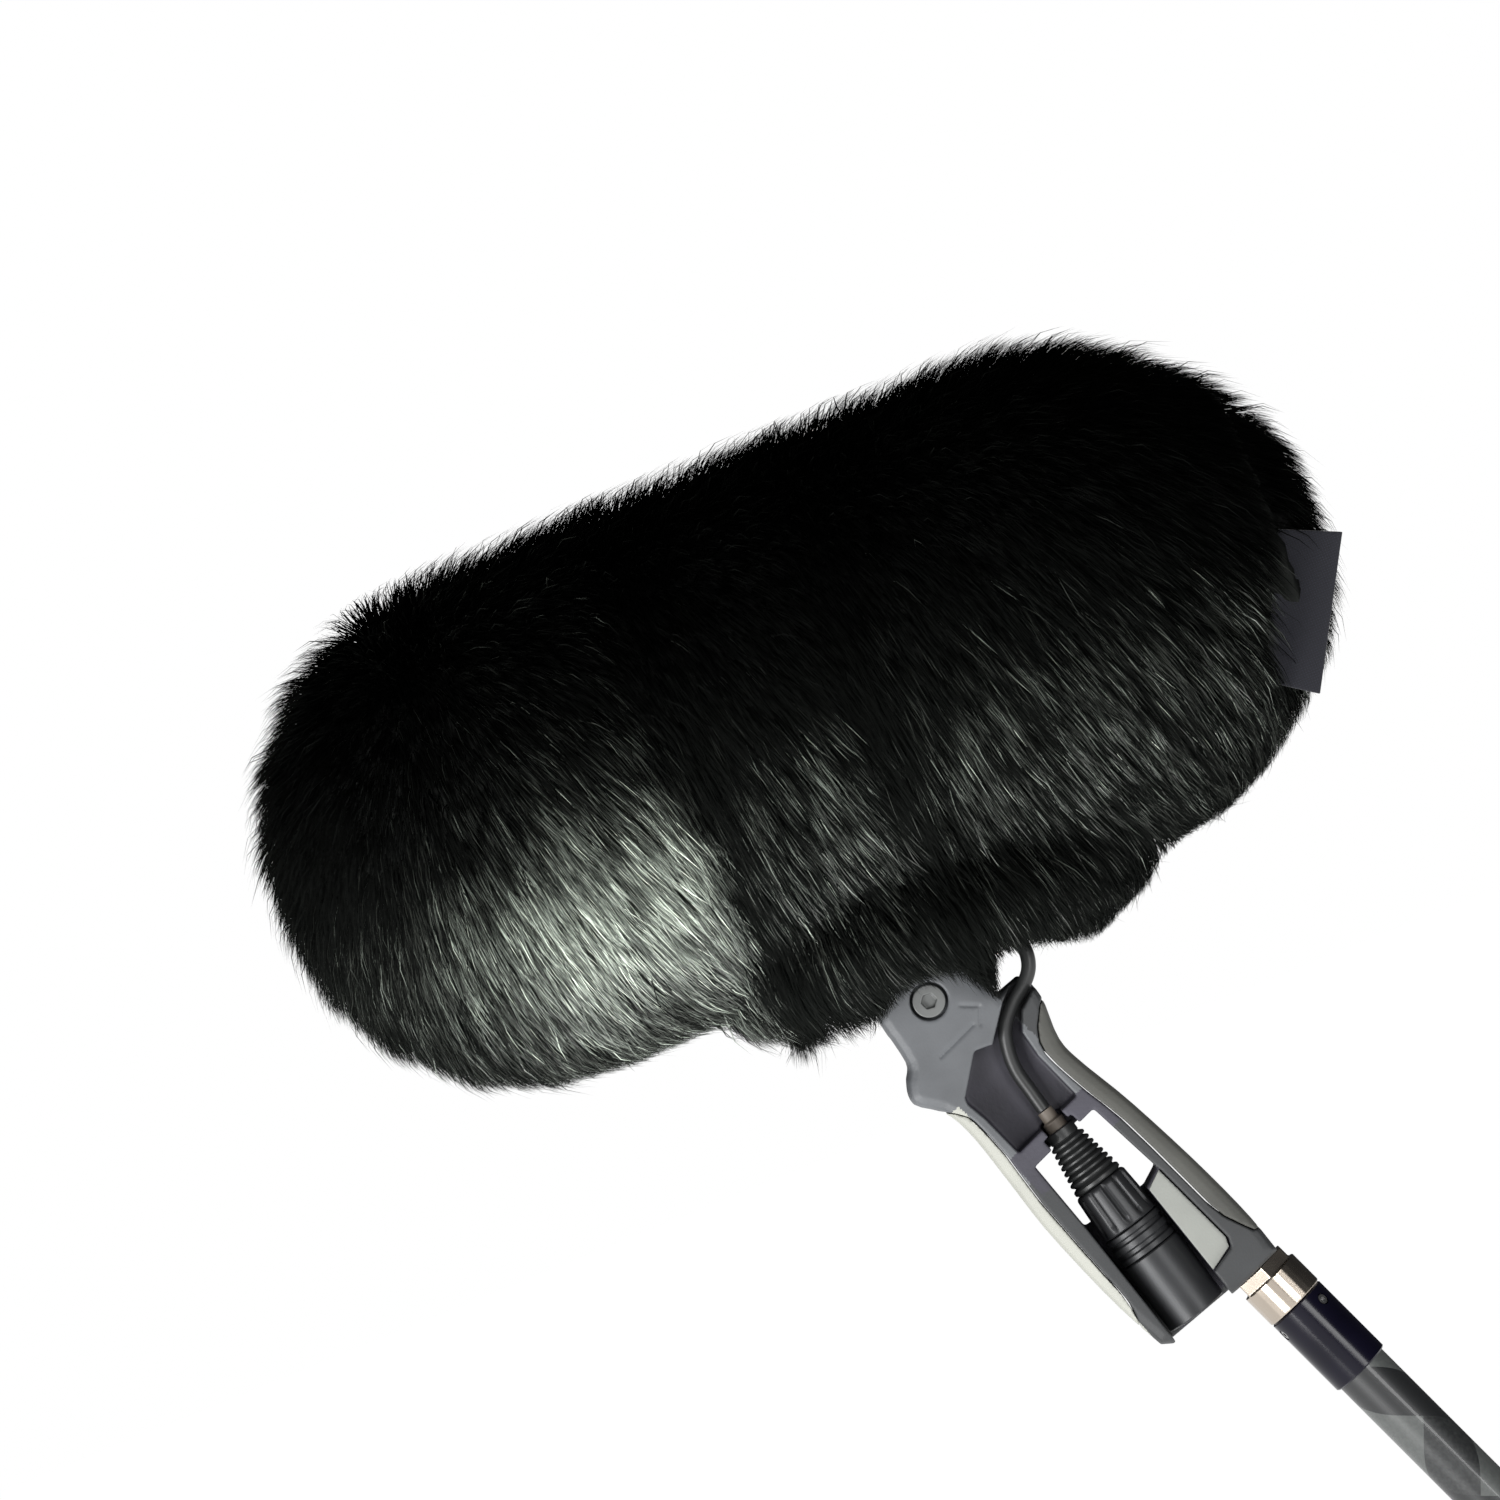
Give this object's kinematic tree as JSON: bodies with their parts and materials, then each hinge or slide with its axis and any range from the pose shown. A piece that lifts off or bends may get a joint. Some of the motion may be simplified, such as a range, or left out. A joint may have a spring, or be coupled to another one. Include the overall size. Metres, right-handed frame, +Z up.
{
  "type": "furry windscreen",
  "caption": "Long-pile fur windscreen over a basket with a suspended shotgun microphone, tilting on a pistol-grip handle that holds its lead's plug, screwed to a boom pole tip.",
  "frame": {"origin": "centre of the boom pole tube's lower end, where the rest of the pole holds the whole", "axes": "+Z up, X along the basket with the nose at -X, the handle's open side faces -Y"},
  "size_m": [0.3175, 0.144, 0.3692],
  "materials": {
    "fur": "long black pile, matte",
    "label": "woven tape",
    "basket": "moulded lattice",
    "nylon": "moulded satin",
    "black_metal": "satin black",
    "collar": "gloss black anodised",
    "nickel": "bright nickel",
    "steel": "brushed",
    "head_grey": "fine grained",
    "pad_light": "soft touch",
    "pad_dark": "soft touch",
    "dark_rubber": "matte",
    "carbon": "spiral-wound fibre, satin"
  },
  "bodies": {
    "pole": {"pole_tip": "nickel", "pole_collar": "collar", "pole_tube": "carbon", "set_screw_1": "steel", "set_screw_2": "steel", "set_screw_3": "steel"},
    "handle": {"handle_left": "head_grey", "handle_right": "head_grey", "front_pad": "pad_light", "back_pad": "pad_dark", "inner_panel": "pad_light", "thread_insert": "steel", "pivot_bolt": "black_metal", "friction_washer_left": "dark_rubber", "friction_washer_right": "dark_rubber", "lead_loop": "dark_rubber", "cable_boot": "dark_rubber", "plug_cap": "black_metal", "plug_ring": "black_metal", "plug_barrel": "black_metal", "contact_insert": "nickel", "plug_saddle": "pad_dark", "case_screw_1": "steel", "case_screw_2": "steel", "case_screw_3": "steel"},
    "lever": {"clamp_lever": "black_metal"},
    "windscreen": {"fur_cover": "fur", "label_tab": "label", "basket_front": "basket", "basket_middle": "basket", "basket_rear": "basket", "basket_ring_front": "nylon", "basket_ring_rear": "nylon", "stalk": "nylon", "suspension_rail": "black_metal", "rail_screw_front": "steel", "rail_screw_rear": "steel", "microphone_tube": "black_metal", "microphone_grille": "steel", "microphone_plug": "black_metal", "inner_lead": "dark_rubber", "lyre_base_front": "nylon", "lyre_front": "nylon", "microphone_clip_front": "nylon", "lyre_base_rear": "nylon", "lyre_rear": "nylon", "microphone_clip_rear": "nylon"}
  },
  "joints": [
    {"name": "handle_swivel", "type": "hinge", "parent": "pole", "child": "handle", "pos_m": [0, 0, 0], "axis": [-0.3907, 0, 0.9205], "range_deg": [-180, 180]},
    {"name": "windscreen_tilt", "type": "hinge", "parent": "handle", "child": "windscreen", "pos_m": [-0.09988, 0, 0.20203], "axis": [0, 1, 0], "range_deg": [-55, 15], "deforming": ["lead_loop"]},
    {"name": "lever_turn", "type": "hinge", "parent": "handle", "child": "lever", "pos_m": [-0.09988, 0, 0.20203], "axis": [0, 1, 0], "range_deg": [-60, 60]}
  ]
}
